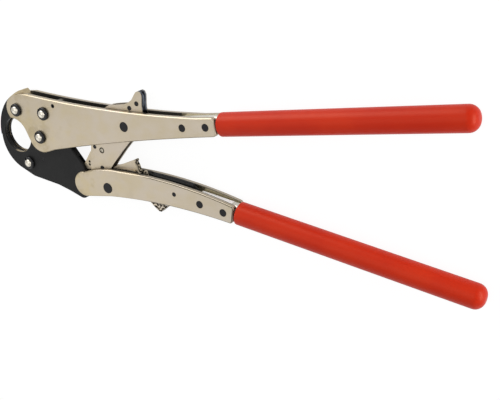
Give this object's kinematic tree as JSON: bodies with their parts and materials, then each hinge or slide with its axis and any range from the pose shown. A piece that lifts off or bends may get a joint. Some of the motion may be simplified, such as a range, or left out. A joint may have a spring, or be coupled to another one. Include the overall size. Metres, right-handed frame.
{
  "type": "pipe press tool",
  "caption": "Two-handed pipe press tool: compound lever pliers whose split jaws close to a round press ring.",
  "frame": {"origin": "centre of the closed press bore, halfway between the side plates", "axes": "+Z along the bore axis out of the front side plates, +X along the upper arm towards its grip, +Y away from the lower arm"},
  "size_m": [0.571, 0.2233, 0.032],
  "materials": {
    "nickel": "satin nickel plating with a warm cast",
    "dark_nickel": "nickel plating, darker in the folds",
    "black_steel": "satin black finish",
    "black_rivet": "black oxide, slightly glossy",
    "chrome": "polished, domed",
    "black_ring": "glossy black",
    "spring_steel": "bare spring steel",
    "tube_steel": "plain tube",
    "red_grip": "dipped soft plastic with a light sheen"
  },
  "bodies": {
    "upper_arm": {"upper_plate_front": "nickel", "upper_plate_back": "nickel", "upper_jaw": "black_steel", "upper_jaw_pins": "chrome", "jaw_hinge_pin": "chrome", "pin_retaining_rings": "black_ring", "link_pin": "black_rivet", "spacer_roll_pin": "black_rivet", "plate_spacer": "dark_nickel", "release_lever_pin": "dark_nickel", "release_spring": "spring_steel", "upper_handle_tube": "tube_steel", "upper_handle_rivets": "black_rivet", "upper_grip": "red_grip"},
    "lower_jaw": {"lower_jaw": "black_steel", "lower_jaw_pin": "chrome", "lower_jaw_rings": "black_ring", "lower_jaw_dowel": "black_rivet", "ratchet_segment": "nickel", "segment_rivet": "black_rivet"},
    "link": {"link_plate_front": "nickel", "link_plate_back": "nickel", "link_bushes": "dark_nickel", "spring_post": "black_rivet", "pawl_pin": "black_rivet", "press_force_screw": "dark_nickel", "pawl_spring": "spring_steel"},
    "ratchet_pawl": {"ratchet_pawl": "dark_nickel"},
    "lower_arm": {"lower_plate_front": "nickel", "lower_plate_back": "nickel", "main_pivot_pin": "black_rivet", "jaw_drive_pin": "dark_nickel", "lower_handle_tube": "tube_steel", "lower_handle_rivets": "black_rivet", "lower_grip": "red_grip", "latch_pin": "black_rivet", "latch_spring": "spring_steel"},
    "release_lever": {"release_lever": "nickel", "release_lever_rivets": "black_rivet"},
    "latch_lever": {"latch_lever": "nickel"}
  },
  "joints": [
    {"name": "jaw_hinge", "type": "hinge", "parent": "upper_arm", "child": "lower_jaw", "pos_m": [0.0421, -0.0019, 0], "axis": [0, 0, 1], "range_deg": [0, 20]},
    {"name": "link_swing", "type": "hinge", "parent": "upper_arm", "child": "link", "pos_m": [0.1683, 0.0074, 0], "axis": [0, 0, 1], "range_deg": [0, 9.37]},
    {"name": "handle", "type": "hinge", "parent": "link", "child": "lower_arm", "pos_m": [0.1265, -0.0615, 0], "axis": [0, 0, 1], "range_deg": [-43.08, 0]},
    {"name": "pawl_rock", "type": "hinge", "parent": "link", "child": "ratchet_pawl", "pos_m": [0.1199, -0.0403, 0], "axis": [0, 0, 1], "range_deg": [-6, 0], "stiffness_Nm_per_rad": 0.05, "deforming": ["pawl_spring"]},
    {"name": "release_lever", "type": "hinge", "parent": "upper_arm", "child": "release_lever", "pos_m": [0.188, 0.0095, 0], "axis": [0, 0, 1], "range_deg": [-8, 0], "stiffness_Nm_per_rad": 0.4, "springref_deg": 5.73, "deforming": ["release_spring"]},
    {"name": "latch_lever", "type": "hinge", "parent": "lower_arm", "child": "latch_lever", "pos_m": [0.217, -0.0667, 0], "axis": [0, 0, 1], "range_deg": [-5, 0], "stiffness_Nm_per_rad": 0.4, "springref_deg": 5.73, "deforming": ["latch_spring"]}
  ],
  "couplings": [
    {"joint": "jaw_hinge", "follows": "handle", "ratio": -0.46419},
    {"joint": "link_swing", "follows": "handle", "ratio": -0.21733}
  ]
}
